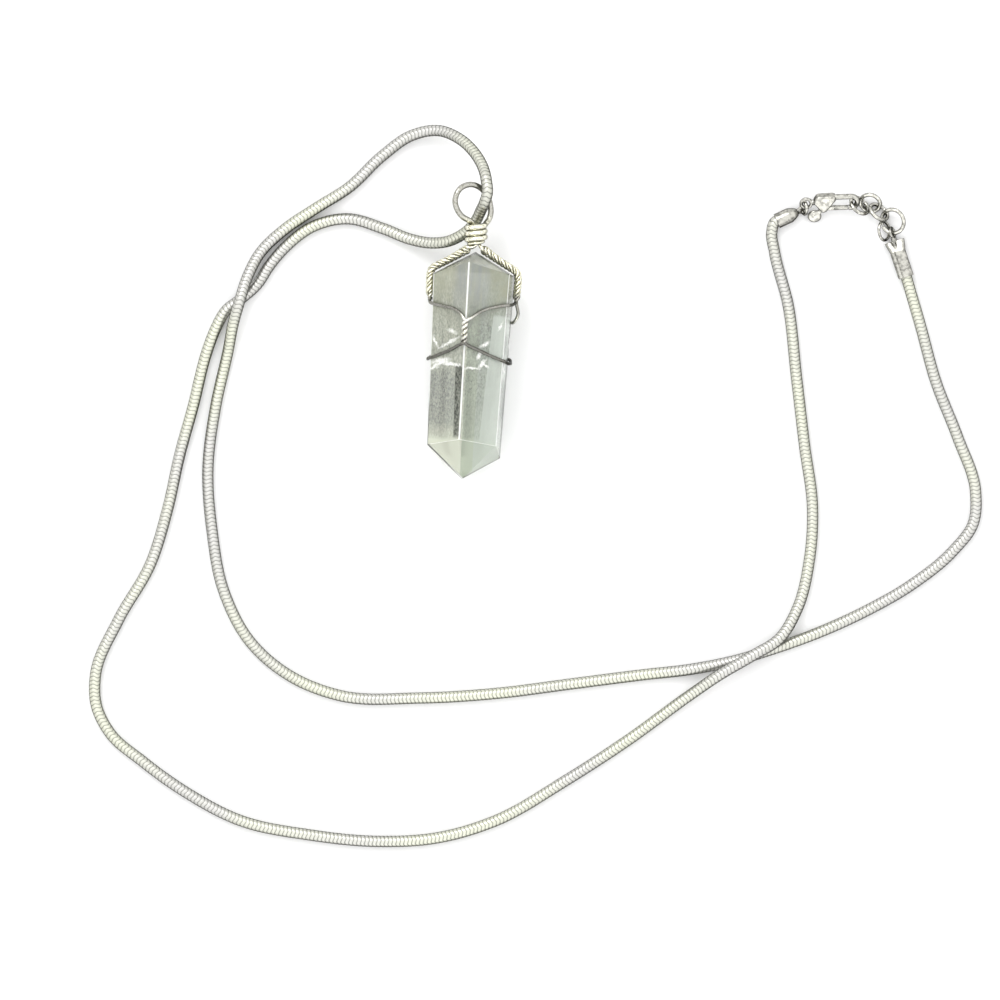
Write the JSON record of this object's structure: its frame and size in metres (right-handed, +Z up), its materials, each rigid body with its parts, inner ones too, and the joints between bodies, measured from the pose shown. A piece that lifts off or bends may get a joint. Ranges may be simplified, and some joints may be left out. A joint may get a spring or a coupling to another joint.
{
  "type": "quartz crystal necklace",
  "caption": "Double-pointed quartz crystal in a twisted silver wire cage, hung by a coiled wire bail on a snake chain with a claw clasp, laid flat in a loose double loop.",
  "frame": {"origin": "on the surface it lies on, under the middle of the laid-out necklace", "axes": "+X to the right of the view from above, +Y towards the clasp side, +Z up from the surface"},
  "size_m": [0.1094, 0.0886, 0.0125],
  "materials": {
    "crystal": "polished clear quartz with a faint green-grey tint and inner veils",
    "wire": "polished silver wire with a light patina",
    "chain": "fine ribbed silver snake chain",
    "clasp": "polished cast silver"
  },
  "bodies": {
    "necklace": {"quartz_point": "crystal", "bail": "wire", "wrap_wire_left": "wire", "wrap_wire_right": "wire", "chain_outer": "chain", "chain_inner": "chain", "end_cap_left": "clasp", "end_cap_right": "clasp", "clasp_body": "clasp", "ring_eye": "clasp", "ring_hook": "clasp", "ring_second": "clasp", "ring_third": "clasp", "ring_end": "clasp", "ring_spare": "clasp"},
    "lever": {"clasp_lever": "clasp"}
  },
  "joints": [
    {"name": "clasp_lever_hinge", "type": "hinge", "parent": "necklace", "child": "lever", "pos_m": [0.03536, 0.03426, 0.00155], "axis": [0.0195, -0.5588, 0.829], "range_deg": [0, 17], "stiffness_Nm_per_rad": 0.004}
  ]
}
